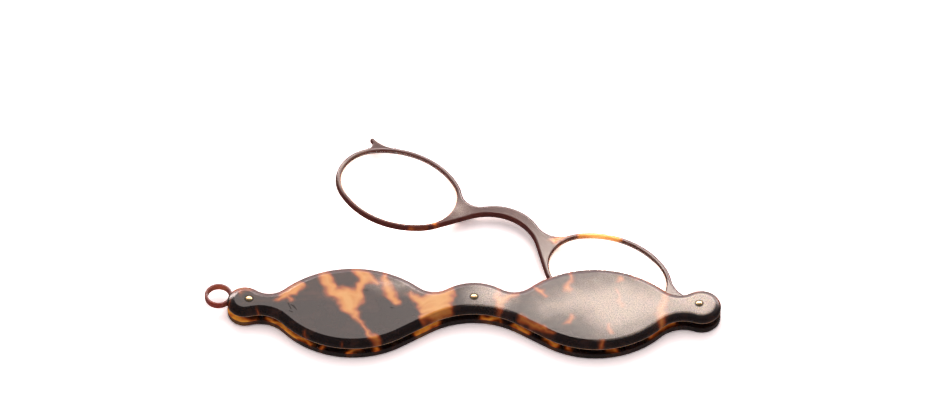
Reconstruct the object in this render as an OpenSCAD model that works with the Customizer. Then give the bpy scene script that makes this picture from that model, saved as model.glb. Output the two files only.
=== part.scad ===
// Folding lorgnette of tortoiseshell. Two flat covers riveted together make a slotted case, also the handle.
// A one-piece spectacle front with two clear lenses swings out of the slot about the pin at the case's +X end.
// X runs along the case, Y points to the side where the front swings out, and Z is across the covers.
// The case lies on its rear cover: the origin is on that face, halfway between the two end pins.
// Every outline is a chain of tangent circles, so an outline set in by e has the same centres.

/* [Spectacle front] */
// Distance between the two lens centres
lens_spacing = 62; // [58:0.5:66]
// Half length of a rim, along the front
rim_half_l = 17.5; // [16.6:0.1:18.2]
// Half height of a rim
rim_half_h = 12.9; // [12.4:0.1:13.4]
// Radius of a rim's two ends
rim_end_r = 10.8; // [10.2:0.1:11.2]
// Width of a rim, seen from the front
rim_w = 1.3; // [1.2:0.1:1.8]
// Thickness of the front
front_t = 1.8; // [1.7:0.1:2.2]
// Radius of the front's rounded outer edges
front_edge_r = 0.8; // [0.4:0.1:0.8]
// Depth of the groove that holds a lens
groove_depth = 0.5; // [0.3:0.1:0.7]
// Width of that groove
groove_w = 0.8; // [0.6:0.1:0.9]
// How far the lens centres lie below the pivot when the front is shut
front_drop = 0.8; // [0.4:0.1:1.2]
// How far the front's middle lies from the case's middle, towards the pivot
front_shift = 1.1; // [0.8:0.1:1.8]
// Angle by which the front stands out of the case
open_angle = 28; // [0:1:150]

/* [Bridge and tang] */
// Height of the bridge's crown above the lens centres
bridge_rise = 8.1; // [7.6:0.1:8.6]
// Width of the bridge at its crown
bridge_w = 3.6; // [3.2:0.1:3.9]
// Radius of the bridge's upper edge
bridge_top_r = 13; // [12:0.5:14]
// Length of the straight stretch between the bridge's hollow and a rim
bridge_flank = 9.8; // [8:0.2:11]
// Radius of the corner between the bridge and the outer rim
bridge_outer_fillet_r = 5; // [4:0.5:6]
// Radius of the corner between the bridge and the rim beside the pivot
bridge_inner_fillet_r = 6.5; // [5:0.5:7.5]
// Radius of the eye around the pivot pin
tang_eye_r = 3.2; // [2.8:0.1:3.6]
// Radius of the hollows where the tang narrows behind the eye
tang_fillet_r = 8; // [7:0.5:9]

/* [Thumb hook] */
// Radius of the hook's round tip
hook_tip_r = 0.55; // [0.4:0.05:0.7]
// Distance of the tip beyond the outer lens centre, along the front
hook_reach = 14.2; // [13:0.2:15]
// Height of the tip above the lens centres
hook_rise = 11.4; // [11:0.1:12]
// Radius of the hook's hollow upper edge
hook_back_r = 9; // [7:0.5:12]
// Radius of the notch under the hook
hook_notch_r = 1.6; // [1.2:0.1:2.2]
// Thickness of the hook
hook_t = 1.3; // [1.1:0.1:1.5]

/* [Lenses] */
// Thickness of a lens at its edge
lens_edge_t = 0.7; // [0.5:0.05:0.8]
// Thickness of a lens in its middle
lens_mid_t = 1.3; // [1.2:0.1:1.6]
// Height of the step from that edge to the domed face, at a lens's two ends
lens_step = 0.1; // [0.05:0.05:0.15]
// Space between a lens and its groove, on each side
lens_gap = 0.05; // [0.02:0.01:0.1]

/* [Case] */
// Thickness of the front cover
front_cover_t = 2; // [1.8:0.1:2.6]
// Thickness of the rear cover
rear_cover_t = 2; // [1.8:0.1:2.6]
// Width of the worked shoulder around the front cover's face
shoulder_w = 1.9; // [1.4:0.1:2.2]
// Depth of that shoulder
shoulder_h = 1.1; // [0.8:0.1:1.3]
// Angle through which the shoulder is rounded from the wall to its crisp inner line
shoulder_turn = 45; // [30:5:80]
// Radius of the rear cover's outer edge
rear_edge_r = 0.5; // [0.3:0.1:0.8]
// Space between the front and each cover
slot_gap = 0.05; // [0.03:0.01:0.1]
// How far a leaf reaches above a shut rim, or less than 0 where the rim stands out
leaf_over = -0.1; // [-0.2:0.05:0.4]
// How far a leaf reaches below a shut rim
leaf_under = 0.4; // [0:0.05:0.6]
// How far a leaf's middle lies outside the middle of the lens spacing
leaf_out = 0.5; // [0:0.1:1]
// Radius of a leaf's upper edge
leaf_top_r = 26.5; // [25:0.5:28]
// Radius of a leaf's lower edge
leaf_bottom_r = 24; // [23:0.5:25]
// Distance from a leaf's middle to the end pin
leaf_to_pin = 27; // [26:0.2:28]
// Height of the waist's upper edge above the pivot
waist_top = 7.4; // [7:0.1:8.4]
// Radius of the waist's upper edge
waist_top_r = 12.7; // [11.5:0.1:14]
// Depth of the waist's lower edge below the pivot
waist_bottom = 2.4; // [2:0.1:3]
// Length of the straight stretch between the waist's hollow and a leaf
waist_flank = 9; // [7:0.5:11]
// Radius of the corner between the waist and a leaf, on the upper edge
waist_fillet_r = 6; // [5:0.5:7]
// Radius of the neck's upper hollow
neck_top_r = 5.6; // [5:0.2:6.2]
// Radius of the neck's lower hollow
neck_bottom_r = 8; // [7:0.2:9]

/* [Ends of the case] */
// Radius of the round end at the pivot
pivot_end_r = 5.1; // [4.9:0.1:5.7]
// How far the middle of that end lies below the pivot
pivot_end_drop = 0.2; // [0:0.1:0.5]
// Radius of the round end at the suspension ring
ring_end_r = 4.6; // [4.4:0.1:5.2]
// How far that end stands above the pivot's line
ring_end_rise = 1; // [0:0.1:1.5]
// How far each end reaches beyond its pin
end_reach = 5.7; // [5.4:0.1:6]

/* [Pins] */
// Diameter of the pins' shafts
pin_d = 1.3; // [1.1:0.1:1.5]
// Diameter of the pins' round heads
head_d = 1.8; // [1.7:0.1:2.2]
// Height of the heads
head_h = 0.35; // [0.25:0.05:0.5]
// Diameter of the pins' flush rear ends
foot_d = 1.9; // [1.7:0.1:2.2]
// Clearance around a pin in the covers
pin_fit = 0.01; // [0.01:0.01:0.03]
// Running clearance around a pin in a part that turns on it
turning_fit = 0.04; // [0.02:0.01:0.08]
// Height of the middle pin above the pivot
middle_pin_rise = 2; // [1.8:0.1:2.2]
// Diameter of the spacer on the middle pin
spacer_d = 2.6; // [2.4:0.1:2.7]

/* [Suspension ring] */
// Outer diameter of the ring
ring_d = 7.2; // [6.6:0.1:8]
// Diameter of the ring's hole
ring_hole_d = 5.5; // [5:0.1:5.8]
// Width of the bevels along the ring's edges
ring_bevel = 0.2; // [0.1:0.05:0.3]
// Distance from the ring pin to the ring's centre
ring_reach = 8.7; // [8.4:0.1:9.4]
// Angle of the ring above the case's line
ring_angle = 22; // [-80:1:80]
// Radius of the ring's eye, between the covers
ring_eye_r = 2.3; // [2:0.1:2.8]
// Width of the neck between the ring and its eye
ring_neck_w = 2.6; // [2.2:0.1:3.2]

/* [Hidden] */

shell_dark = [0.2, 0.13, 0.1];
shell_brown = [0.36, 0.16, 0.1];
glass = [0.9, 0.95, 0.95, 0.4];
brass = [0.85, 0.68, 0.3];

$fn = 64;
eps = 0.01;
station_slack = 0.0001;
station_step = 1.25;
end_steps = 12;
oval_steps = 24;
edge_steps = 3;
shoulder_steps = 4;
dome_steps = 6;

// Levels across the case
slot_t = front_t + 2 * slot_gap;
slot_z = rear_cover_t;
front_z = slot_z + slot_gap;
cover_z = slot_z + slot_t;
case_t = cover_z + front_cover_t;

// Places along the case
leaf_x = lens_spacing / 2 + leaf_out;
pivot_x = leaf_x + leaf_to_pin;
ring_pin_x = -pivot_x;
leaf_top = rim_half_h - front_drop + leaf_over;
leaf_bottom = rim_half_h + front_drop + leaf_under;

// Places on the shut front
outer_eye = [front_shift - lens_spacing / 2, -front_drop];
inner_eye = [front_shift + lens_spacing / 2, -front_drop];

function unit(v) = v / norm(v);
function turned(v, a) = [v.x * cos(a) - v.y * sin(a), v.x * sin(a) + v.y * cos(a)];
function clamped_root(v) = sqrt(max(0, v));

// Centre of the circle of radius r that touches the circles a and b from outside, left of a to b if side is 1
function fillet_centre(a, ra, b, rb, r, side) =
    let (d = norm(b - a), u = unit(b - a), t = ((ra + r)^2 - (rb + r)^2 + d^2) / (2 * d))
    a + u * t + side * turned(u, 90) * clamped_root((ra + r)^2 - t^2);

// Point where the circle a touches the circle b from outside
function touch(a, ra, b, rb) = a + (b - a) * ra / (ra + rb);

// Radius of the hollow whose top is h below the round's centre and dx beside it, with a straight flank between
function hollow_r(dx, h, round_r, flank) = (dx^2 + h^2 - round_r^2 - flank^2) / (2 * (round_r - h));

// Direction from a round's centre to the start of the straight flank that leads on to a hollow's circle
function flank_normal(a, ra, b, rb, side) = turned(unit(b - a), side * acos((ra + rb) / norm(b - a)));

// A chain lists the stretches of one edge from left to right. Each one is [end x, centre, radius, half, bulge]:
// half is 1 for the upper half of the circle and -1 for the lower, bulge is 1 where the edge is round and -1
// where it is hollow. A straight stretch has radius 0, its slope as half, and 1 for an upper edge as bulge.
function stretch(chain, x) = [for (s = chain) if (x <= s[0] + station_slack) s][0];

// Point of a chain at x, with its outward normal: [x, y, nx, ny]
function edge_point(chain, x) =
    let (s = stretch(chain, x), c = s[1], r = s[2], dx = x - c.x,
         v = [dx, s[3] * (r > 0 ? clamped_root(r^2 - dx^2) : dx)],
         n = s[4] * (r > 0 ? v / r : unit([-s[3], 1])))
    [x, c.y + v.y, n.x, n.y];

// Outline between a lower and an upper chain that meet at the first and the last station, anticlockwise
function outline(lower, upper, stations) =
    let (n = len(stations))
    concat([for (x = stations) edge_point(lower, x)],
           [for (i = [n - 2 : -1 : 1]) edge_point(upper, stations[i])]);

// Plate with that outline, where levels lists [inset, z] from the bottom up
module plate(points, levels) {
    m = len(points);
    n = m / 2 + 1;
    top = m * (len(levels) - 1);
    polyhedron(
        points = [for (l = levels) for (p = points) [p[0] - l[0] * p[2], p[1] - l[0] * p[3], l[1]]],
        faces = concat(
            [for (l = [0 : len(levels) - 2]) for (i = [0 : m - 1])
                [l * m + i, (l + 1) * m + i, (l + 1) * m + (i + 1) % m, l * m + (i + 1) % m]],
            [for (i = [0 : n - 2]) i == 0 ? [top, top + m - 1, top + 1]
                : i == n - 2 ? [top + i, top + m - i, top + i + 1]
                : [top + m - i, top + m - i - 1, top + i + 1, top + i]],
            [for (i = [0 : n - 2]) i == 0 ? [0, 1, m - 1]
                : i == n - 2 ? [i, i + 1, m - i]
                : [i, i + 1, m - i - 1, m - i]]));
}

// Rounded edge of radius r, as [inset, height] from the face to the wall
function rounding(r) = [for (i = [0 : edge_steps]) let (a = 90 * i / edge_steps) r * [1 - sin(a), 1 - cos(a)]];
function flipped(levels, z) = [for (i = [len(levels) - 1 : -1 : 0]) [levels[i][0], z - levels[i][1]]];

// Stations over an arc's end, from its tip at x to its middle, r away
function tip_stations(x, r, dir) = [for (i = [0 : end_steps - 1]) x + dir * r * (1 - cos(90 * i / end_steps))];
function reversed(list) = [for (i = [len(list) - 1 : -1 : 0]) list[i]];
function even_stations(a, b) = let (n = ceil((b - a) / station_step)) [for (i = [0 : n]) a + (b - a) * i / n];

// Case outline
pivot_end = [pivot_x + end_reach - pivot_end_r, -pivot_end_drop];
ring_end = [ring_pin_x - end_reach + ring_end_r, ring_end_rise];
waist_top_c = [0, waist_top - waist_top_r];
leaf_top_y = leaf_top - leaf_top_r;
leaf_bottom_y = leaf_bottom_r - leaf_bottom;
waist_bottom_r = hollow_r(leaf_x, leaf_bottom_y + waist_bottom, leaf_bottom_r, waist_flank);
waist_bottom_c = [0, -waist_bottom - waist_bottom_r];

// Upper edge of the case from the waist to an end, mirrored for the end at -X by dir
function upper_touches(dir, end, end_r) =
    let (leaf = [dir * leaf_x, leaf_top_y],
         waist_fillet = fillet_centre(waist_top_c, waist_top_r, leaf, leaf_top_r, waist_fillet_r, dir),
         neck = fillet_centre(leaf, leaf_top_r, end, end_r, neck_top_r, dir))
    [[touch(waist_top_c, waist_top_r, waist_fillet, waist_fillet_r).x, waist_fillet],
     [touch(leaf, leaf_top_r, waist_fillet, waist_fillet_r).x, leaf],
     [touch(leaf, leaf_top_r, neck, neck_top_r).x, neck],
     [touch(end, end_r, neck, neck_top_r).x, end]];

function case_upper() =
    let (l = upper_touches(-1, ring_end, ring_end_r), r = upper_touches(1, pivot_end, pivot_end_r))
    [[l[3][0], ring_end, ring_end_r, 1, 1],
     [l[2][0], l[2][1], neck_top_r, -1, -1],
     [l[1][0], l[1][1], leaf_top_r, 1, 1],
     [l[0][0], l[0][1], waist_fillet_r, -1, -1],
     [r[0][0], waist_top_c, waist_top_r, 1, 1],
     [r[1][0], r[0][1], waist_fillet_r, -1, -1],
     [r[2][0], r[1][1], leaf_top_r, 1, 1],
     [r[3][0], r[2][1], neck_top_r, -1, -1],
     [pivot_x + end_reach, pivot_end, pivot_end_r, 1, 1]];

// Lower edge of the case: [waist flank's two ends, leaf, neck hollow] on one side
function lower_touches(dir, end, end_r) =
    let (leaf = [dir * leaf_x, leaf_bottom_y],
         n = flank_normal(leaf, leaf_bottom_r, waist_bottom_c, waist_bottom_r, dir),
         neck = fillet_centre(end, end_r, leaf, leaf_bottom_r, neck_bottom_r, dir))
    [waist_bottom_c - waist_bottom_r * n, leaf + leaf_bottom_r * n, leaf, neck,
     touch(leaf, leaf_bottom_r, neck, neck_bottom_r).x, touch(end, end_r, neck, neck_bottom_r).x];

function slope(a, b) = (b.y - a.y) / (b.x - a.x);

function case_lower() =
    let (l = lower_touches(-1, ring_end, ring_end_r), r = lower_touches(1, pivot_end, pivot_end_r))
    [[l[5], ring_end, ring_end_r, -1, 1],
     [l[4], l[3], neck_bottom_r, 1, -1],
     [l[1].x, l[2], leaf_bottom_r, -1, 1],
     [l[0].x, l[0], 0, slope(l[1], l[0]), -1],
     [r[0].x, waist_bottom_c, waist_bottom_r, 1, -1],
     [r[1].x, r[0], 0, slope(r[0], r[1]), -1],
     [r[4], r[2], leaf_bottom_r, -1, 1],
     [r[5], r[3], neck_bottom_r, 1, -1],
     [pivot_x + end_reach, pivot_end, pivot_end_r, -1, 1]];

case_stations = concat(tip_stations(ring_pin_x - end_reach, ring_end_r, 1),
    even_stations(ring_end.x, pivot_end.x), reversed(tip_stations(pivot_x + end_reach, pivot_end_r, -1)));
case_outline = outline(case_lower(), case_upper(), case_stations);

// Shut front's outline
rim_e = rim_half_l - rim_end_r;
rim_side_r = ((rim_half_l - rim_end_r)^2 + rim_half_h^2 - rim_end_r^2) / (2 * (rim_half_h - rim_end_r));
rim_side_h = rim_side_r - rim_half_h;
rim_joint_x = rim_e + rim_end_r * rim_e / norm([rim_e, rim_side_h]);
rim_ends = [for (eye = [outer_eye, inner_eye]) for (d = [-1, 1]) eye + [d * rim_e, 0]];
bridge_x = (rim_ends[1].x + rim_ends[2].x) / 2;
bridge_top_c = [bridge_x, bridge_rise - front_drop - bridge_top_r];
bridge_under_r = hollow_r((rim_ends[2].x - rim_ends[1].x) / 2, bridge_w - bridge_rise, rim_end_r, bridge_flank);
bridge_under_c = [bridge_x, bridge_rise - bridge_w - front_drop - bridge_under_r];
outer_fillet_c = fillet_centre(rim_ends[1], rim_end_r, bridge_top_c, bridge_top_r, bridge_outer_fillet_r, 1);
inner_fillet_c = fillet_centre(bridge_top_c, bridge_top_r, rim_ends[2], rim_end_r, bridge_inner_fillet_r, 1);
pivot = [pivot_x, 0];
tang_upper_c = fillet_centre(rim_ends[3], rim_end_r, pivot, tang_eye_r, tang_fillet_r, 1);
tang_lower_c = fillet_centre(rim_ends[3], rim_end_r, pivot, tang_eye_r, tang_fillet_r, -1);
outer_flank = flank_normal(rim_ends[1], rim_end_r, bridge_under_c, bridge_under_r, -1);
inner_flank = flank_normal(rim_ends[2], rim_end_r, bridge_under_c, bridge_under_r, 1);

function front_upper() = [
    [outer_eye.x - rim_joint_x, rim_ends[0], rim_end_r, 1, 1],
    [outer_eye.x + rim_joint_x, outer_eye - [0, rim_side_h], rim_side_r, 1, 1],
    [touch(rim_ends[1], rim_end_r, outer_fillet_c, bridge_outer_fillet_r).x, rim_ends[1], rim_end_r, 1, 1],
    [touch(bridge_top_c, bridge_top_r, outer_fillet_c, bridge_outer_fillet_r).x, outer_fillet_c,
     bridge_outer_fillet_r, -1, -1],
    [touch(bridge_top_c, bridge_top_r, inner_fillet_c, bridge_inner_fillet_r).x, bridge_top_c,
     bridge_top_r, 1, 1],
    [touch(rim_ends[2], rim_end_r, inner_fillet_c, bridge_inner_fillet_r).x, inner_fillet_c,
     bridge_inner_fillet_r, -1, -1],
    [inner_eye.x - rim_joint_x, rim_ends[2], rim_end_r, 1, 1],
    [inner_eye.x + rim_joint_x, inner_eye - [0, rim_side_h], rim_side_r, 1, 1],
    [touch(rim_ends[3], rim_end_r, tang_upper_c, tang_fillet_r).x, rim_ends[3], rim_end_r, 1, 1],
    [touch(pivot, tang_eye_r, tang_upper_c, tang_fillet_r).x, tang_upper_c, tang_fillet_r, -1, -1],
    [pivot.x + tang_eye_r, pivot, tang_eye_r, 1, 1]];

function front_lower() =
    let (l0 = rim_ends[1] + rim_end_r * outer_flank, l1 = bridge_under_c - bridge_under_r * outer_flank,
         r0 = rim_ends[2] + rim_end_r * inner_flank, r1 = bridge_under_c - bridge_under_r * inner_flank)
    [[outer_eye.x - rim_joint_x, rim_ends[0], rim_end_r, -1, 1],
     [outer_eye.x + rim_joint_x, outer_eye + [0, rim_side_h], rim_side_r, -1, 1],
     [l0.x, rim_ends[1], rim_end_r, -1, 1],
     [l1.x, l0, 0, slope(l0, l1), -1],
     [r1.x, bridge_under_c, bridge_under_r, 1, -1],
     [r0.x, r1, 0, slope(r1, r0), -1],
     [inner_eye.x - rim_joint_x, rim_ends[2], rim_end_r, -1, 1],
     [inner_eye.x + rim_joint_x, inner_eye + [0, rim_side_h], rim_side_r, -1, 1],
     [touch(rim_ends[3], rim_end_r, tang_lower_c, tang_fillet_r).x, rim_ends[3], rim_end_r, -1, 1],
     [touch(pivot, tang_eye_r, tang_lower_c, tang_fillet_r).x, tang_lower_c, tang_fillet_r, 1, -1],
     [pivot.x + tang_eye_r, pivot, tang_eye_r, -1, 1]];

front_stations = concat(tip_stations(outer_eye.x - rim_half_l, rim_end_r, 1),
    even_stations(rim_ends[0].x, pivot.x), reversed(tip_stations(pivot.x + tang_eye_r, tang_eye_r, -1)));
front_outline = outline(front_lower(), front_upper(), front_stations);

// Points of one circle's arc from angle a to b, without the last one
function arc_points(c, r, a, b, n) =
    [for (i = [0 : n - 1]) let (t = a + (b - a) * i / n) c + r * [cos(t), sin(t)]];

// Rim oval around the origin, set in by e
function oval_points(e) =
    let (a = atan2(rim_side_h, rim_e), n = oval_steps)
    concat(arc_points([rim_e, 0], rim_end_r - e, -a, a, n),
           arc_points([0, -rim_side_h], rim_side_r - e, a, 180 - a, n),
           arc_points([-rim_e, 0], rim_end_r - e, 180 - a, 180 + a, n),
           arc_points([0, rim_side_h], rim_side_r - e, 180 + a, 360 - a, n));

// Hook: a round tip with a hollow edge on each side, which runs into the outer rim's top
hook_tip = outer_eye + [-hook_reach, hook_rise];
hook_back_c = fillet_centre(hook_tip, hook_tip_r, outer_eye - [0, rim_side_h], rim_side_r, hook_back_r, 1);
hook_notch_c = fillet_centre(hook_tip, hook_tip_r, rim_ends[0], rim_end_r, hook_notch_r, -1);

function angle_to(from, to) = atan2(to.y - from.y, to.x - from.x);
function angle_after(a, start) = a < start ? angle_after(a + 360, start) : a;

function hook_points() =
    let (rim_side_c = outer_eye - [0, rim_side_h],
         tip_a = angle_to(hook_tip, hook_back_c),
         notch_a = angle_to(hook_notch_c, hook_tip),
         back_a = angle_to(hook_back_c, rim_side_c))
    concat(
        arc_points(hook_tip, hook_tip_r, tip_a,
                   angle_after(angle_to(hook_tip, hook_notch_c), tip_a), end_steps),
        arc_points(hook_notch_c, hook_notch_r, notch_a,
                   angle_after(angle_to(hook_notch_c, rim_ends[0]), notch_a - 360), end_steps),
        [rim_ends[0] + (rim_end_r - rim_w / 2) * unit(hook_notch_c - rim_ends[0]),
         rim_side_c + (rim_side_r - rim_w / 2) * unit(hook_back_c - rim_side_c)],
        arc_points(hook_back_c, hook_back_r, back_a,
                   angle_after(angle_to(hook_back_c, hook_tip), back_a - 360), end_steps));

// Turns a shut part out of the case to where it stands
module swung_out() {
    translate(pivot) rotate(-open_angle) translate(-pivot) children();
}

module pin_hole(x, y) {
    translate([x, y, -eps]) cylinder(d = pin_d + 2 * pin_fit, h = case_t + 2 * eps);
}

module pin_holes() {
    pin_hole(pivot_x, 0);
    pin_hole(0, middle_pin_rise);
    pin_hole(ring_pin_x, ring_end_rise);
}

foot_h = (foot_d - pin_d) / 2;

module foot_seat(x, y) {
    d = pin_d + 2 * pin_fit;
    translate([x, y, -eps]) cylinder(d1 = d + 2 * (foot_h + eps), d2 = d, h = foot_h + eps);
}

// Flat cover on which the case lies, drilled and countersunk for the three pins
module rear_cover() {
    color(shell_dark) difference() {
        plate(case_outline, concat(rounding(rear_edge_r), [[0, rear_cover_t]]));
        pin_holes();
        foot_seat(pivot_x, 0);
        foot_seat(0, middle_pin_rise);
        foot_seat(ring_pin_x, ring_end_rise);
    }
}

// Cover that shows, with a crisp line where its worked shoulder meets the flat face
module front_cover() {
    shoulder = [for (i = [0 : shoulder_steps]) let (a = shoulder_turn * i / shoulder_steps)
        [shoulder_w * (1 - cos(a)) / (1 - cos(shoulder_turn)),
         front_cover_t - shoulder_h * (1 - sin(a) / sin(shoulder_turn))]];
    color(shell_dark) difference() {
        translate([0, 0, cover_z]) plate(case_outline, concat([[0, 0]], shoulder));
        pin_holes();
    }
}

// Rims, bridge, tang and thumb hook, sawn and filed from one plate
module spectacle_front() {
    color(shell_brown) swung_out() difference() {
        union() {
            translate([0, 0, front_z])
                plate(front_outline, concat(rounding(front_edge_r), flipped(rounding(front_edge_r), front_t)));
            translate([0, 0, front_z + (front_t - hook_t) / 2]) linear_extrude(hook_t) polygon(hook_points());
        }
        for (eye = [outer_eye, inner_eye]) translate(eye) {
            translate([0, 0, front_z - eps]) linear_extrude(front_t + 2 * eps) polygon(oval_points(rim_w));
            translate([0, 0, front_z + (front_t - groove_w) / 2])
                linear_extrude(groove_w) polygon(oval_points(rim_w - groove_depth));
        }
        translate([pivot_x, 0, 0]) cylinder(d = pin_d + 2 * turning_fit, h = case_t);
    }
}

// Lens with a thin edge that sits in the rim's groove, and a shallow dome on each face inside the rim
module lens(eye) {
    reach = rim_half_l - rim_w - lens_gap;
    edge_z = lens_edge_t / 2 + lens_step;
    dome_h = lens_mid_t / 2 - edge_z;
    dome_r = (reach^2 + dome_h^2) / (2 * dome_h);
    dome = [for (i = [0 : dome_steps]) let (x = rim_half_l * i / dome_steps)
        [x, edge_z + dome_h - dome_r + sqrt(dome_r^2 - x^2)]];
    color(glass) swung_out() translate([eye.x, eye.y, front_z + front_t / 2]) {
        linear_extrude(lens_edge_t, center = true) polygon(oval_points(rim_w - groove_depth + lens_gap));
        intersection() {
            linear_extrude(front_t, center = true) polygon(oval_points(rim_w + lens_gap));
            rotate_extrude() polygon(concat(dome, [for (p = reversed(dome)) [p.x, -p.y]]));
        }
    }
}

module outer_lens() {
    lens(outer_eye);
}

module inner_lens() {
    lens(inner_eye);
}

// Brass pin through both covers: a round head on the front, and a rear end spread flush in its countersink
module pin(x, y) {
    head_r = ((head_d / 2)^2 + head_h^2) / (2 * head_h);
    color(brass) translate([x, y, 0]) {
        cylinder(d1 = foot_d, d2 = pin_d, h = foot_h);
        cylinder(d = pin_d, h = case_t);
        translate([0, 0, case_t]) intersection() {
            translate([0, 0, head_h - head_r]) sphere(head_r);
            cylinder(d = head_d, h = head_h);
        }
    }
}

module pivot_pin() {
    pin(pivot_x, 0);
}

module middle_pin() {
    pin(0, middle_pin_rise);
}

module ring_pin() {
    pin(ring_pin_x, ring_end_rise);
}

// Short tube that keeps the covers apart at the waist, where the shut bridge comes to rest
module middle_spacer() {
    color(brass) translate([0, middle_pin_rise, slot_z]) difference() {
        cylinder(d = spacer_d, h = slot_t);
        translate([0, 0, -eps]) cylinder(d = pin_d + 2 * pin_fit, h = slot_t + 2 * eps);
    }
}

// Ring for a ribbon or chain, with a flat eye that turns on its pin between the covers
module suspension_ring() {
    r = ring_d / 2;
    hole_r = ring_hole_d / 2;
    b = ring_bevel;
    color(shell_brown) translate([ring_pin_x, ring_end_rise, front_z]) rotate(180 - ring_angle) difference() {
        union() {
            cylinder(r = ring_eye_r, h = front_t);
            translate([0, -ring_neck_w / 2, b])
                cube([ring_reach - (r + hole_r) / 2, ring_neck_w, front_t - 2 * b]);
            translate([ring_reach, 0, 0]) rotate_extrude() polygon([
                [hole_r, b], [hole_r + b, 0], [r - b, 0], [r, b], [r, front_t - b], [r - b, front_t],
                [hole_r + b, front_t], [hole_r, front_t - b]]);
        }
        translate([0, 0, -eps]) cylinder(d = pin_d + 2 * turning_fit, h = front_t + 2 * eps);
    }
}

rear_cover();
front_cover();
spectacle_front();
outer_lens();
inner_lens();
pivot_pin();
middle_pin();
ring_pin();
middle_spacer();
suspension_ring();
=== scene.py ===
import math

import bmesh
import bpy
from mathutils import Matrix, Vector


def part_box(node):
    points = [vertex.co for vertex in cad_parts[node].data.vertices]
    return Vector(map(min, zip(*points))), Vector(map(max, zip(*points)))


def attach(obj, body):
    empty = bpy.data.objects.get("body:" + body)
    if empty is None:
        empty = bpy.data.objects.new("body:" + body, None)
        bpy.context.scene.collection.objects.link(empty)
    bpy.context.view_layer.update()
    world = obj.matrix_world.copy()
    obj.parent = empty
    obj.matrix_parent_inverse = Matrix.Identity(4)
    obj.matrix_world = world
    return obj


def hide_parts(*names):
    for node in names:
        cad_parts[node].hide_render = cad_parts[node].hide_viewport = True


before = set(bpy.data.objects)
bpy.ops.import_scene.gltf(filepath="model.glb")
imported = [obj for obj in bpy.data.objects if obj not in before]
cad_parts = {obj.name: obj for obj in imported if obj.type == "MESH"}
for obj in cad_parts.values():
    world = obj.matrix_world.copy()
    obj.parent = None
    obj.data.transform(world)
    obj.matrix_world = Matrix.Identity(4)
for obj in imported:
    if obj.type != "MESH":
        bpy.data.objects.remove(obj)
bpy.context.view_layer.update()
scene = bpy.context.scene
MM = 0.001

# Camera
# The lorgnette is seen from 50 degrees above the table and square to its case, from two metres away. The
# case lies in the lower part of the picture, because the front swings out above it.
VIEW_RISE = math.radians(50)
VIEW_ROLL = math.radians(0.21)
VIEW_DISTANCE = 2.0
PICTURE_PIXELS = 950
PIXELS_PER_MM = 3.84
PICTURE_WIDTH = PICTURE_PIXELS / PIXELS_PER_MM * MM
AIM_RIGHT = 0.26 * MM
AIM_UP = 29.77 * MM
SENSOR_WIDTH = 36

camera_data = bpy.data.cameras.new("camera")
camera_data.sensor_width = SENSOR_WIDTH
camera_data.lens = SENSOR_WIDTH * VIEW_DISTANCE / PICTURE_WIDTH
camera_data.clip_start, camera_data.clip_end = 0.05, 50
camera = bpy.data.objects.new("camera", camera_data)
turn = Matrix.Rotation(math.pi / 2 - VIEW_RISE, 4, "X") @ Matrix.Rotation(VIEW_ROLL, 4, "Z")
camera.matrix_world = turn @ Matrix.Translation((AIM_RIGHT, AIM_UP, VIEW_DISTANCE))
scene.collection.objects.link(camera)
scene.camera = camera
scene.view_settings.view_transform = "Standard"


# Table and light
# A white table under one broad softbox behind the case, which lies where the flat covers mirror it to the
# camera. A small lamp in front of it whitens the dull leaf beside the pivot, two low ones draw the far
# edges, and a weak one nearly overhead keeps the shadows short.
def feed(tree, socket, source):
    """Links a node's first output or another socket to this one, or gives it a value, but for None."""
    if isinstance(source, bpy.types.Node):
        tree.links.new(source.outputs[0], socket)
    elif isinstance(source, bpy.types.NodeSocket):
        tree.links.new(source, socket)
    elif source is not None:
        socket.default_value = source


def add_node(tree, kind, *sources, **settings):
    """Adds a shader node. Sources feed its inputs in order, settings are its properties or named inputs."""
    node = tree.nodes.new(kind)
    for key, value in settings.items():
        if hasattr(node, key):
            setattr(node, key, value)
        else:
            feed(tree, node.inputs[key.replace("_", " ")], value)
    for socket, source in zip(node.inputs, sources):
        feed(tree, socket, source)
    return node


def new_material(name):
    material = bpy.data.materials.new(name)
    material.use_nodes = True
    material.node_tree.nodes.clear()
    return material, material.node_tree


def seen(tree, path):
    """1 for the camera's own rays and for those that a lens passes on."""
    own, passed_on = path.outputs["Is Camera Ray"], path.outputs["Is Transmission Ray"]
    return add_node(tree, "ShaderNodeMath", own, passed_on, operation="MAXIMUM")


def mirrored(tree, path):
    """1 for rays that a glossy surface throws back, without those that a lens passes on."""
    glossy, passed_on = path.outputs["Is Glossy Ray"], path.outputs["Is Transmission Ray"]
    return add_node(tree, "ShaderNodeMath", glossy, passed_on, operation="SUBTRACT", use_clamp=True)


TABLE_SIZE = 3.0
TABLE_DROP = 0.02 * MM
TABLE_WHITE = (0.88, 0.87, 0.87, 1)
TABLE_SEEN = (1.85, 1.63, 1.63, 1)
TABLE_IN_MIRROR = (0.16, 0.13, 0.12, 1)

floor_mesh = bmesh.new()
bmesh.ops.create_grid(floor_mesh, x_segments=1, y_segments=1, size=TABLE_SIZE)
bmesh.ops.translate(floor_mesh, verts=floor_mesh.verts, vec=(0, 0, -TABLE_DROP))
table_data = bpy.data.meshes.new("table")
floor_mesh.to_mesh(table_data)
floor_mesh.free()
table = bpy.data.objects.new("table", table_data)
scene.collection.objects.link(table)

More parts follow.
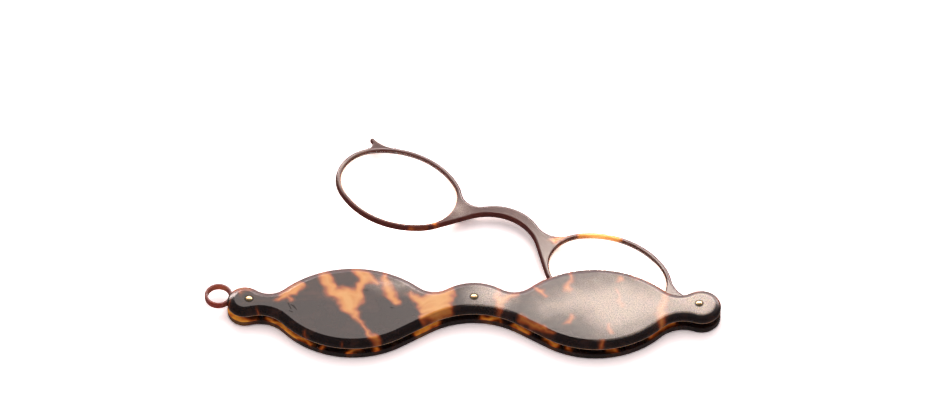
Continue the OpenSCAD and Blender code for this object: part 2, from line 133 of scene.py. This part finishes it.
# Where it is seen the table clips to white outside the shadow, and polished shell mirrors it dim
table_paint, tree = new_material("table_white")
path = add_node(tree, "ShaderNodeLightPath")
white = add_node(tree, "ShaderNodeMixRGB", seen(tree, path), TABLE_WHITE, TABLE_SEEN)
lit = add_node(tree, "ShaderNodeBsdfDiffuse", white)
dim = add_node(tree, "ShaderNodeEmission", TABLE_IN_MIRROR, Strength=1.0)
blend = add_node(tree, "ShaderNodeMixShader", mirrored(tree, path), lit, dim)
add_node(tree, "ShaderNodeOutputMaterial", blend)
table_data.materials.append(table_paint)

ROOM_GREY = 0.62
ROOM_IN_MIRROR = 0.09
WHITE = (1, 1, 1, 1)
room = bpy.data.worlds.new("room")
room.use_nodes = True
tree = room.node_tree
tree.nodes.clear()
path = add_node(tree, "ShaderNodeLightPath")
level = add_node(tree, "ShaderNodeMapRange", mirrored(tree, path), To_Min=ROOM_GREY, To_Max=ROOM_IN_MIRROR)
level = add_node(tree, "ShaderNodeMath", level, seen(tree, path), operation="MAXIMUM")
grey = add_node(tree, "ShaderNodeBackground", WHITE, level)
add_node(tree, "ShaderNodeOutputWorld", grey)
scene.world = room


def add_lamp(name, place, target, size, radiance, color=(1, 1, 1), mirrors=True, shines=True):
    """Rectangular lamp at place, which faces target with the same brightness all over. It need not show in
    polished surfaces (mirrors), or light matt ones (shines)."""
    data = bpy.data.lights.new(name, "AREA")
    data.shape = "RECTANGLE"
    data.size, data.size_y = size
    data.energy = radiance * math.pi * size[0] * size[1]
    data.color = color
    lamp = bpy.data.objects.new(name, data)
    facing = (Vector(target) - Vector(place)).to_track_quat("-Z", "Y")
    lamp.matrix_world = Matrix.Translation(place) @ facing.to_matrix().to_4x4()
    lamp.visible_camera = False
    lamp.visible_glossy = mirrors
    lamp.visible_diffuse = shines
    scene.collection.objects.link(lamp)


def behind(distance, right=0, rise=VIEW_RISE):
    """Point behind the case. From the camera's own rise the covers' flat faces mirror it to the camera."""
    return (right, distance * math.cos(rise), distance * math.sin(rise))


MIDDLE = (0, 0, 0)
DULL_LEAF = (0.036, -0.002, 0)
add_lamp("softbox", behind(0.9), MIDDLE, size=(0.8, 0.46), radiance=2.6, color=(1, 0.87, 0.82))
add_lamp("bright_patch", behind(0.42, right=0.042), DULL_LEAF, size=(0.06, 0.024), radiance=16,
         color=(1, 0.86, 0.76))
add_lamp("back_light", behind(1.2, rise=math.radians(29)), MIDDLE, size=(2.0, 0.26), radiance=17,
         color=(1, 0.84, 0.8), shines=False)
add_lamp("horizon", behind(1.2, rise=math.radians(13)), MIDDLE, size=(2.4, 0.36), radiance=1.9,
         color=(1, 0.8, 0.84), shines=False)
add_lamp("top_light", behind(1.0, rise=math.radians(78)), MIDDLE, size=(0.5, 0.5), radiance=1.4,
         mirrors=False)


# Rear cover
# The flat shell plate on which the case lies: two leaves, a waist and a round end for each outer pin. It is
# sawn and filed from one sheet, so its wall is upright, and the edge that the hand holds is rounded.
def bends(bm, angle):
    """The edges at which two faces bend by more than that angle in degrees."""
    return [e for e in bm.edges if len(e.link_faces) == 2 and e.calc_face_angle(0) > math.radians(angle)]


MERGE_WITHIN = 0.001 * MM
FLAT_WITHIN = math.radians(0.3)


def polished_copy(node, softened, sharp=30, segments=2):
    """A CAD node's mesh, merged, with its edges that bend by more than sharp softened by that width."""
    bm = bmesh.new()
    bm.from_mesh(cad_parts[node].data)
    bmesh.ops.remove_doubles(bm, verts=bm.verts, dist=MERGE_WITHIN)
    bmesh.ops.dissolve_limit(bm, angle_limit=FLAT_WITHIN, verts=bm.verts, edges=bm.edges)
    bmesh.ops.bevel(bm, geom=bends(bm, sharp), offset=softened, segments=segments, profile=0.5,
                    affect="EDGES", material=-1)
    return bm


def add_piece(bm, name, material, body, slot, *nodes, sharp=40):
    """Makes the bmesh a smooth shaded piece in place of these CAD nodes, creased at bends above sharp."""
    for face in bm.faces:
        face.smooth = True
    for edge in bends(bm, sharp):
        edge.smooth = False
    data = bpy.data.meshes.new(name)
    bm.to_mesh(data)
    bm.free()
    data.materials.append(material)
    piece = bpy.data.objects.new(name, data)
    scene.collection.objects.link(piece)
    weighted = piece.modifiers.new("flat faces stay flat", "WEIGHTED_NORMAL")
    weighted.keep_sharp = True
    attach(piece, body)
    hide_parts(*nodes)


def depth_within(tree, place, marks, softness):
    """How deep in millimetres a place lies within the nearest mark, below 0 outside. A mark is a line of
    (x, y, half width) points, and marks that meet grow together over that softness."""
    depth = None
    for mark in marks:
        for (x0, y0, r0), (x1, y1, r1) in zip(mark, mark[1:] or mark):
            along = Vector((x1 - x0, y1 - y0, 0))
            away = add_node(tree, "ShaderNodeVectorMath", place, (x0, y0, 0), operation="SUBTRACT")
            if along.length > 0:
                rate = along / along.length_squared
                share = add_node(tree, "ShaderNodeVectorMath", away, rate, operation="DOT_PRODUCT")
                held = add_node(tree, "ShaderNodeClamp", share.outputs["Value"])
                nearest = add_node(tree, "ShaderNodeVectorMath", along, operation="SCALE", Scale=held)
                across = add_node(tree, "ShaderNodeVectorMath", away, nearest, operation="DISTANCE")
                half = add_node(tree, "ShaderNodeMath", held, r1 - r0, r0, operation="MULTIPLY_ADD")
            else:
                across = add_node(tree, "ShaderNodeVectorMath", away, operation="LENGTH")
                half = r0
            inside = add_node(tree, "ShaderNodeMath", half, across.outputs["Value"], operation="SUBTRACT")
            if depth is not None:
                inside = add_node(tree, "ShaderNodeMath", depth, inside, softness, operation="SMOOTH_MAX")
            depth = inside
    return depth


SHELL_IOR = 1.54
# How far outlines waver and the dull places drift, and over what width marks meet, in millimetres. The
# dull places' pale dust is partly a painted sheen.
WAVER = (2.6, 2.6, 2.6)
DRIFT = (3, 3, 0)
FLATTEN = (1, 1, 0)
GRAIN = 0.13
MARKS_MEET = 1.2
DULL_AND_SHEEN_MEET = 4
DARKENING_MEET = 0.01
DENT = 0.03 * MM
CLOUD_BROWN = (0.035, 0.011, 0.007, 1)
# Painted reddish glow for the edges that face away from the camera
PAINTED_EDGE_GLOW = (0.3, 0.085, 0.03, 1)
# Painted highlight for the front cover's sawn arris
PAINTED_ARRIS_HIGHLIGHT = (0.4, 0.25, 0.19, 1)
# Pale dust, which also paints a sheen
PALE_DUST_AND_SHEEN = (0.92, 0.76, 0.65, 1)
# Colour of the darkened rings round the pins and of the scratches
DARK_RING_AND_SCRATCH = (0.006, 0.003, 0.002, 1)


def shell_material(name, marks, dark, amber, painted_glow_share, face_z=None, painted_face_amber=None, painted_arris_z=None,
                   painted_far_glow=False, dull_and_sheen=(), rings_and_scratches=(), rough_from=0.15):
    """Tortoiseshell: dark brown, cleared to amber along the marks, which go right through the sheet. The
    amber also has a painted glow, an emission of its own colour at the given share that stands for light
    passing through the shell. On the face at face_z the amber takes the face colour, its own copy that paints
    the face lit against the walls. The sawn arris at the given height gets a painted highlight, a pale band
    where the edge catches light, and the far-facing edges that the vertex attribute marks get a painted
    reddish glow, as if lit through from behind. Dull places on the face are pitted and dry, and their pale
    dust is partly a painted sheen. The darkened places, rings round the pins and scratches, turn dark and
    lose their sheen. Heights are in millimetres."""
    material, tree = new_material(name)
    coordinates = add_node(tree, "ShaderNodeTexCoord")
    in_mm = add_node(tree, "ShaderNodeVectorMath", coordinates.outputs["Object"], operation="SCALE",
                     Scale=1 / MM)

    # The marks' outlines waver as the grain of the shell does
    waver = add_node(tree, "ShaderNodeTexNoise", in_mm, Scale=0.34, Detail=1.0, Roughness=0.4)
    centred = add_node(tree, "ShaderNodeVectorMath", waver.outputs["Color"], (0.5, 0.5, 0.5),
                       operation="SUBTRACT")
    moved = add_node(tree, "ShaderNodeVectorMath", centred, WAVER, in_mm, operation="MULTIPLY_ADD")
    flat = add_node(tree, "ShaderNodeVectorMath", moved, FLATTEN, operation="MULTIPLY")
    still = add_node(tree, "ShaderNodeVectorMath", in_mm, FLATTEN, operation="MULTIPLY")
    height = add_node(tree, "ShaderNodeSeparateXYZ", in_mm).outputs["Z"]

    # Amber where a mark is deep, through red brown at its edge, to the dark ground. Grain breaks up the edge.
    grain = add_node(tree, "ShaderNodeTexNoise", in_mm, Scale=2.6, Detail=5.0, Roughness=0.65)
    depth = add_node(tree, "ShaderNodeMath", grain, GRAIN, depth_within(tree, flat, marks, MARKS_MEET),
                     operation="MULTIPLY_ADD")
    spread = add_node(tree, "ShaderNodeMapRange", depth, From_Min=-1.2, From_Max=2.3)

    def along_depth(color):
        ramp = add_node(tree, "ShaderNodeValToRGB", spread)
        elements = ramp.color_ramp.elements
        elements[0].position, elements[0].color = 0.14, (*dark, 1)
        elements[1].position, elements[1].color = 0.9, (*color, 1)
        elements.new(0.31).color = (dark[0] + 0.12 * color[0], dark[1] + 0.05 * color[1], dark[2], 1)
        elements.new(0.44).color = (0.6 * color[0], 0.26 * color[1], 0.2 * color[2], 1)
        elements.new(0.62).color = (0.95 * color[0], 0.76 * color[1], 0.6 * color[2], 1)
        return ramp

    paint = along_depth(amber)
    # Painted light: the face gets its own copy of the amber, which shows it lit against the walls
    if face_z:
        on_face = add_node(tree, "ShaderNodeMapRange", height, From_Min=face_z - 0.16, From_Max=face_z - 0.02)
        paint = add_node(tree, "ShaderNodeMixRGB", on_face, paint, along_depth(painted_face_amber))

    # Cloudy brown in the dark ground
    cloud = add_node(tree, "ShaderNodeTexNoise", in_mm, Scale=0.2, Detail=4.0, Roughness=0.6)
    cloudy = add_node(tree, "ShaderNodeMapRange", cloud, From_Min=0.5, From_Max=0.8)
    paint = add_node(tree, "ShaderNodeMixRGB", cloudy, paint, CLOUD_BROWN, blend_type="ADD")

    # Painted light: edges facing away from the camera get a reddish glow added, as if lit through from behind
    if painted_far_glow:
        far_facing_share = add_node(tree, "ShaderNodeAttribute", attribute_name="painted_far_light").outputs["Fac"]
        painted_far_glow_amount = add_node(tree, "ShaderNodeMath", far_facing_share, cloud, operation="MULTIPLY")
        paint = add_node(tree, "ShaderNodeMixRGB", painted_far_glow_amount, paint, PAINTED_EDGE_GLOW, blend_type="ADD")
    # Painted highlight: a pale band along the sawn lower arris, where the edge catches light
    if painted_arris_z:
        painted_arris_band = add_node(tree, "ShaderNodeMapRange", height, From_Min=painted_arris_z + 0.12, From_Max=painted_arris_z + 0.3,
                         To_Min=0.8, To_Max=0.0)
        paint = add_node(tree, "ShaderNodeMixRGB", painted_arris_band, paint, PAINTED_ARRIS_HIGHLIGHT)

    # Long handling leaves hairlines and fine grit, and the dull places have dried out and are pitted. Their
    # pale dust is partly a painted sheen of reflected light.
    fine = add_node(tree, "ShaderNodeTexNoise", in_mm, Scale=3.4, Detail=6.0, Roughness=0.75)
    rough = add_node(tree, "ShaderNodeMapRange", fine, From_Min=0.3, From_Max=0.75, To_Min=rough_from,
                     To_Max=rough_from + 0.12)
    if dull_and_sheen:
        drift = add_node(tree, "ShaderNodeVectorMath", centred, DRIFT, still, operation="MULTIPLY_ADD")
        worn_and_sheen = add_node(tree, "ShaderNodeMapRange", depth_within(tree, drift, dull_and_sheen, DULL_AND_SHEEN_MEET),
                        From_Min=-6.5, From_Max=6.0, interpolation_type="SMOOTHSTEP")
        pits = add_node(tree, "ShaderNodeMapRange", fine, From_Min=0.36, From_Max=0.62, To_Min=0.28,
                        To_Max=1.15)
        dust_and_sheen = add_node(tree, "ShaderNodeMath", pits, worn_and_sheen, operation="MULTIPLY")
        dust_and_sheen_on_face = add_node(tree, "ShaderNodeMath", dust_and_sheen, on_face, operation="MULTIPLY", use_clamp=True)
        paint = add_node(tree, "ShaderNodeMixRGB", dust_and_sheen_on_face, paint, PALE_DUST_AND_SHEEN)
        rough = add_node(tree, "ShaderNodeMath", worn_and_sheen, 0.2, rough, operation="MULTIPLY_ADD")
    sheen = None
    # Rings round the pins and the scratches are darkened and lose their sheen
    if rings_and_scratches:
        near = depth_within(tree, still, rings_and_scratches, DARKENING_MEET)
        darkening = add_node(tree, "ShaderNodeMapRange", near, From_Min=-0.15, From_Max=0.1, To_Max=0.85)
        paint = add_node(tree, "ShaderNodeMixRGB", darkening, paint, DARK_RING_AND_SCRATCH)
        sheen = add_node(tree, "ShaderNodeMapRange", darkening, To_Min=0.5, To_Max=0.06)
    dents = add_node(tree, "ShaderNodeBump", Strength=0.14, Distance=DENT, Height=fine)
    # Painted light: the amber glows by an emission of its own colour, standing for light passing through the
    # shell
    painted_glow_strength = add_node(tree, "ShaderNodeMapRange", spread, From_Min=0.4, From_Max=0.9, To_Max=painted_glow_share)
    surface = add_node(tree, "ShaderNodeBsdfPrincipled", Base_Color=paint, Roughness=rough, IOR=SHELL_IOR,
                       Specular_IOR_Level=sheen, Normal=dents, Subsurface_Weight=0.6, Subsurface_Scale=MM,
                       Subsurface_Radius=(1.6, 0.8, 0.3), Emission_Color=paint, Emission_Strength=painted_glow_strength)
    add_node(tree, "ShaderNodeOutputMaterial", surface)
    return material


REAR_MARKS = [
    [(-64.0, 0.6, 1.3), (-62.5, -1.6, 1.5), (-60.0, -3.6, 1.1), (-57.0, -3.6, 0.9)],
    [(-53.4, -2.4, 0.8), (-50.0, -5.4, 1.0), (-46.5, -8.2, 1.0), (-42.3, -11.0, 0.7)],
    [(-39.1, -12.0, 0.7)],
    [(-32.4, -13.6, 0.7), (-30.0, -12.6, 0.7)],
    [(-25.5, -12.6, 1.1)],
    [(-15.0, -7.2, 1.0), (-12.3, -5.2, 1.2), (-9.8, -3.2, 0.9)],
    [(2.4, -1.8, 0.8), (4.8, -2.2, 1.0), (6.6, -2.6, 0.7)],
    [(10.8, -4.6, 1.0), (13.8, -6.4, 1.0)],
    [(19.0, -9.4, 0.9), (21.2, -10.6, 0.9)],
    [(24.5, -12.2, 0.8)],
    [(35.0, -12.6, 0.7), (37.0, -12.4, 0.7)],
    [(45.8, -8.0, 0.8), (48.5, -5.6, 0.7), (51.8, -3.4, 0.8)],
]

NEARLY_BLACK = (0.01, 0.0045, 0.0045)
# Painted light and shade: the rear wall's amber is near black and the strip on top is bright amber, as if lit
# through the slot from behind
REAR_AMBER_PAINTED_SHADE = (0.11, 0.055, 0.02)
STRIP_AMBER_PAINTED_LIGHT = (1.0, 0.48, 0.08)
REAR_EDGE = 0.1 * MM
UNDER_FACE = 0.03
rear_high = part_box("rear_cover")[1]
shell_rear = shell_material("tortoiseshell_rear", REAR_MARKS, NEARLY_BLACK, REAR_AMBER_PAINTED_SHADE, painted_glow_share=0.25,
                            face_z=rear_high.z / MM - UNDER_FACE, painted_face_amber=STRIP_AMBER_PAINTED_LIGHT)
add_piece(polished_copy("rear_cover", REAR_EDGE), "rear_cover_shell", shell_rear, "case", "case_shell",
          "rear_cover")

# Front cover
# The shell plate that shows. Its edge is worked down to a rounded shoulder that starts from a crisp line on
# the face. The marks are the amber clouds of the real shell, and the leaf at the pivot is dull from
# handling; its pale dust is partly a painted sheen. The face's paler amber, the glow on the far edges and
# the pale band on the lower arris are painted light.
FRONT_MARKS = [
    [(-51.0, 0.7, 0.8), (-49.4, 1.8, 1.1), (-47.1, 3.9, 1.4), (-44.9, 5.7, 1.0), (-46.5, 6.8, 0.6)],
    [(-48.5, 2.6, 0.7), (-47.5, 0.3, 0.5)],
    [(-50.4, 2.4, 0.9), (-48.0, 4.3, 1.1), (-45.6, 6.2, 1.0)],
    [(-39.4, 10.6, 1.5), (-38.6, 8.6, 1.6), (-37.2, 4.0, 1.6)],
    [(-36.6, 3.6, 1.4), (-34.2, 2.7, 2.3), (-32.6, 0.4, 2.6), (-31.9, -1.8, 2.2), (-31.2, -3.6, 1.3)],
    [(-32.6, 2.6, 1.8), (-30.2, 2.4, 1.5), (-30.7, -1.2, 1.4)],
    [(-37.4, 3.2, 1.2), (-34.2, 2.4, 1.8), (-33.0, -1.6, 1.5)],
    [(-30.6, 11.4, 1.6), (-28.6, 8.4, 1.8), (-29.8, 5.0, 1.4), (-30.2, 2.4, 1.4)],
    [(-27.6, 8.4, 1.4), (-25.2, 6.2, 0.8)],
    [(-30.8, -4.4, 1.0), (-29.6, -6.2, 0.6), (-28.5, -8.2, 0.5), (-27.1, -10.4, 0.7), (-25.6, -12.0, 0.9),
     (-24.7, -13.8, 0.6)],
    [(-22.9, 10.4, 0.8), (-23.3, 7.4, 1.2), (-22.1, 3.8, 1.6), (-20.2, -0.1, 1.2)],
    [(-16.8, 3.2, 0.6), (-13.4, 0.2, 1.9), (-10.2, 1.4, 2.6), (-7.6, 2.6, 2.2), (-6.2, 5.6, 1.0)],
    [(-12.4, -2.8, 1.9), (-9.4, -1.8, 2.3), (-6.8, -1.0, 1.6)],
    [(-12.4, -1.0, 1.6), (-9.0, 0.2, 2.2), (-6.6, 1.6, 1.3)],
    [(-13.0, -5.2, 1.2), (-9.6, -3.8, 1.6), (-6.6, -2.8, 1.2)],
    [(-62.6, 3.9, 0.9), (-60.4, 4.8, 1.1), (-58.4, 4.9, 0.7)],
    [(-63.7, -0.6, 0.2), (-63.5, 1.4, 0.2)],
    [(-60.6, 2.9, 0.5)],
    [(-43.8, -9.6, 0.1), (-43.4, -11.6, 0.3)],
    [(-34.4, -13.4, 0.2)],
    [(-56.3, -2.4, 0.3), (-56.1, -3.6, 0.4)],
    [(5.8, 6.4, 0.5), (6.1, 3.0, 0.8), (6.4, 1.2, 1.4), (6.6, -0.6, 0.8), (6.4, -3.4, 0.2)],
    [(6.6, 1.4, 1.2), (8.6, 1.9, 1.1), (11.2, 2.8, 0.7)],
    [(16.0, 5.0, 0.6), (17.3, 4.0, 0.9), (18.7, 2.7, 0.6)],
    [(25.6, 11.4, 0.5), (25.2, 7.1, 0.5), (24.1, 5.2, 1.2), (25.0, 4.0, 0.8)],
    [(38.2, 8.0, 0.9)],
    [(42.2, 8.3, 0.5)],
    [(37.2, 4.1, 0.5), (38.4, -1.1, 0.5)],
    [(25.4, -4.2, 0.7), (24.5, -6.9, 0.8)],
    [(35.3, -7.1, 0.5), (35.2, -9.8, 0.8)],
    [(49.7, 2.4, 0.9), (49.3, -1.3, 1.2), (48.6, -3.6, 1.4), (48.6, -6.4, 1.1)],
    [(41.0, 10.6, 0.7), (46.2, 7.4, 0.9), (50.9, 3.9, 0.9)],
    [(55.2, 4.4, 0.8), (59.6, 5.2, 0.9)],
    [(63.1, 2.4, 0.5), (63.9, 0.2, 0.5)],
    [(12.2, -5.0, 0.8), (15.5, -7.4, 1.0), (20.4, -10.0, 0.6)],
    [(33.3, -12.8, 0.6), (33.1, -13.8, 0.8)],
    [(11.0, 3.9, 0.5), (15.4, 6.0, 0.4), (21.0, 9.6, 0.4)],
    [(-5.2, 7.2, 0.4), (-2.0, 7.4, 0.3)],
]

# Painted light: the face's amber is paler than the deep amber of the walls
DEEP_AMBER = (0.36, 0.14, 0.03)
PALE_AMBER_PAINTED_LIGHT = (0.7, 0.34, 0.09)
# Dull places on the face: their pale dust is partly wear and partly a painted sheen
DULL_AND_SHEEN = [
    [(18.5, -1.5, 0.8), (27.0, 1.0, 3.0), (37.0, -1.0, 8.0), (47.0, 0.0, 5.5)],
    [(-25.0, 6.5, -1.6), (-12.0, 6.0, -0.4)],
    [(53.0, 1.0, 4.2), (59.0, 1.0, 5.6)],
    [(5.0, 3.6, 4.2)],
]
SCRATCHES = [
    [(-48.3, -0.4, 0.1), (-47.5, -2.4, 0.1)],
    [(-47.5, -0.9, 0.1), (-46.3, -2.2, 0.1)],
    [(-46.9, -1.1, 0.08), (-46.1, -2.6, 0.08)],
    [(-47.9, -3.0, 0.1), (-47.1, -3.4, 0.1)],
    [(-28.8, 4.1, 0.1), (-27.6, 3.9, 0.1)],
    [(-21.6, -1.8, 0.12), (-21.0, -1.9, 0.12)],
]
# A darkened ring round each pin head
PIN_RING_WIDTH = 1.15
PINS_AT = ((58.5, 0), (0, 2), (-58.5, 1))
PIN_RINGS = [[(x, y, PIN_RING_WIDTH)] for x, y in PINS_AT]
SHOULDER_EDGE = 0.06 * MM
front_low, front_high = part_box("front_cover")
shell_front = shell_material("tortoiseshell_front", FRONT_MARKS, NEARLY_BLACK, DEEP_AMBER, painted_glow_share=0.14,
                             face_z=front_high.z / MM - UNDER_FACE, painted_face_amber=PALE_AMBER_PAINTED_LIGHT,
                             painted_arris_z=front_low.z / MM, painted_far_glow=True, dull_and_sheen=DULL_AND_SHEEN, rings_and_scratches=PIN_RINGS + SCRATCHES)
cover = polished_copy("front_cover", SHOULDER_EDGE)
# Painted light: vertices facing +y, away from the camera, are marked for the painted reddish edge glow
cover.normal_update()
painted_far_light = cover.verts.layers.float.new("painted_far_light")
for v in cover.verts:
    v[painted_far_light] = max(0, v.normal.y)
add_piece(cover, "front_cover_shell", shell_front, "case", "case_shell", "front_cover", sharp=14)

# Spectacle front
# Two rims, the bridge, the tang and the thumb hook, sawn from one plate of red-brown shell and rounded by
# filing. Its edges are polished, and the rim beside the pivot is clear amber at its top. That amber has a
# painted glow for light coming through it, and pale spots on the bridge and the upper left rim are dust
# with a painted sheen.
FRAME_EDGE = 0.34 * MM
FRAME_MARKS = [
    [(20.6, 22.6, 0.9), (24.5, 24.4, 0.6)],
    [(28.2, 25.2, 1.6), (31.5, 25.2, 2.6), (36.8, 24.0, 2.0)],
    [(-9.9, 28.6, 0.7)],
    [(-17.5, 26.6, 0.0), (-12.5, 26.8, 0.1)],
]
RED_BROWN = (0.085, 0.018, 0.014)
FRAME_AMBER = (1.0, 0.55, 0.12)
# Pale spots on the frame: dust, and partly a painted sheen
FRAME_DULL_AND_SHEEN = [[(-4.5, 33.5, -0.5)], [(-34.5, 43.0, -0.8), (-33.5, 48.0, -0.5), (-29.0, 52.0, -1.0)]]
frame_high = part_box("spectacle_front")[1]
shell_frame = shell_material("tortoiseshell_frame", FRAME_MARKS, RED_BROWN, FRAME_AMBER, painted_glow_share=0.3,
                             face_z=frame_high.z / MM, painted_face_amber=FRAME_AMBER, dull_and_sheen=FRAME_DULL_AND_SHEEN,
                             rough_from=0.06)
add_piece(polished_copy("spectacle_front", FRAME_EDGE, sharp=50, segments=3), "frame_shell", shell_frame,
          "front", "front_shell", "spectacle_front")

# Lenses
# Clear ground glass with a thin edge, sprung into the rims' grooves. A warm band painted along the edge
# stands for the shell's colour reflected there, and fingers have left faint smears.
LENS_TURN = math.radians(-28)
LENS_HALF = (16.3 * MM, 11.8 * MM, 1)
LENS_EDGE = 0.05 * MM
CLEAR_GLASS = (0.985, 0.99, 0.98, 1)
PAINTED_RIM_REFLECTION = (0.99, 0.84, 0.7, 1)
GLASS_SHADOW = (0.95, 0.95, 0.94, 1)
for name in ("outer_lens", "inner_lens"):
    low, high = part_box(name)
    middle = (low + high) / 2
    glass, tree = new_material(name + "_glass")
    place = add_node(tree, "ShaderNodeTexCoord").outputs["Object"]
    centred = add_node(tree, "ShaderNodeVectorMath", place, middle, operation="SUBTRACT")
    level = add_node(tree, "ShaderNodeVectorRotate", centred, rotation_type="Z_AXIS", Angle=-LENS_TURN)
    oval = add_node(tree, "ShaderNodeVectorMath", level, LENS_HALF, operation="DIVIDE")
    flat = add_node(tree, "ShaderNodeVectorMath", oval, FLATTEN, operation="MULTIPLY")
    outwards = add_node(tree, "ShaderNodeVectorMath", flat, operation="LENGTH").outputs["Value"]
    # Painted reflection: a warm band along the edge of the glass
    edge = add_node(tree, "ShaderNodeMapRange", outwards, From_Min=0.93, From_Max=0.99,
                    interpolation_type="SMOOTHSTEP")
    glass_and_painted_reflection = add_node(tree, "ShaderNodeMixRGB", edge, CLEAR_GLASS, PAINTED_RIM_REFLECTION)
    smears = add_node(tree, "ShaderNodeTexNoise", place, Scale=260.0, Detail=4.0)
    smeared = add_node(tree, "ShaderNodeMapRange", smears, From_Min=0.5, From_Max=0.8, To_Max=0.06)
    clear = add_node(tree, "ShaderNodeBsdfPrincipled", Base_Color=glass_and_painted_reflection, Roughness=smeared, IOR=1.5,
                     Transmission_Weight=1.0)
    lets_light_by = add_node(tree, "ShaderNodeBsdfTransparent", GLASS_SHADOW)
    path = add_node(tree, "ShaderNodeLightPath")
    pane = add_node(tree, "ShaderNodeMixShader", path.outputs["Is Shadow Ray"], clear, lets_light_by)
    add_node(tree, "ShaderNodeOutputMaterial", pane)
    add_piece(polished_copy(name, LENS_EDGE), name + "_pane", glass, "front", "lens_glass", name)

# Pins and spacer
# Brass rivets through both covers, with small round heads, and the tube around the middle one that keeps the
# covers apart at the waist. The brass has tarnished in fine spots.
HEAD_EDGE = 0.05 * MM
BRIGHT_BRASS = (0.92, 0.69, 0.38, 1)
TARNISH = (0.5, 0.31, 0.13, 1)
brass, tree = new_material("pin_brass")
place = add_node(tree, "ShaderNodeTexCoord").outputs["Object"]
spots = add_node(tree, "ShaderNodeTexNoise", place, Scale=2200.0, Detail=5.0, Roughness=0.7)
stained = add_node(tree, "ShaderNodeMapRange", spots, From_Min=0.42, From_Max=0.7)
metal = add_node(tree, "ShaderNodeMixRGB", stained, BRIGHT_BRASS, TARNISH)
rough = add_node(tree, "ShaderNodeMapRange", spots, From_Min=0.3, From_Max=0.7, To_Min=0.26, To_Max=0.46)
gold = add_node(tree, "ShaderNodeBsdfPrincipled", Base_Color=metal, Metallic=1.0, Roughness=rough)
add_node(tree, "ShaderNodeOutputMaterial", gold)
for name in ("pivot_pin", "middle_pin", "ring_pin", "middle_spacer"):
    add_piece(polished_copy(name, HEAD_EDGE, sharp=60), name + "_brass", brass, "case", "pin_brass", name)

# Suspension ring
# A turned ring of red-brown shell with a flat eye, which its pin holds between the covers. The far side of
# its wall has a painted glow, standing for light that comes through it.
RING_MARKS = [[(-68.6, 1.4, 0.6), (-66.0, 0.8, 0.5)]]
RING_RED = (0.21, 0.05, 0.042)
RING_AMBER = (0.4, 0.09, 0.05)
RING_EDGE = 0.12 * MM
ROUND_PART = 6 * MM
# Strength of the painted glow on the ring's far wall
PAINTED_WALL_GLOW = 2.4
ring_low, ring_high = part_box("suspension_ring")
shell_ring = shell_material("tortoiseshell_ring", RING_MARKS, RING_RED, RING_AMBER, painted_glow_share=0.1,
                            painted_far_glow=True, rough_from=0.06)
ring = polished_copy("suspension_ring", RING_EDGE)
ring.normal_update()
# Painted light: the inner wall on the ring's round far side is marked for the painted glow
painted_far_light = ring.verts.layers.float.new("painted_far_light")
for v in ring.verts:
    if v.co.y > (ring_low.y + ring_high.y) / 2 and v.co.x < ring_low.x + ROUND_PART:
        v[painted_far_light] = PAINTED_WALL_GLOW * max(0, -v.normal.y)
add_piece(ring, "ring_shell", shell_ring, "ring", "front_shell", "suspension_ring", sharp=60)
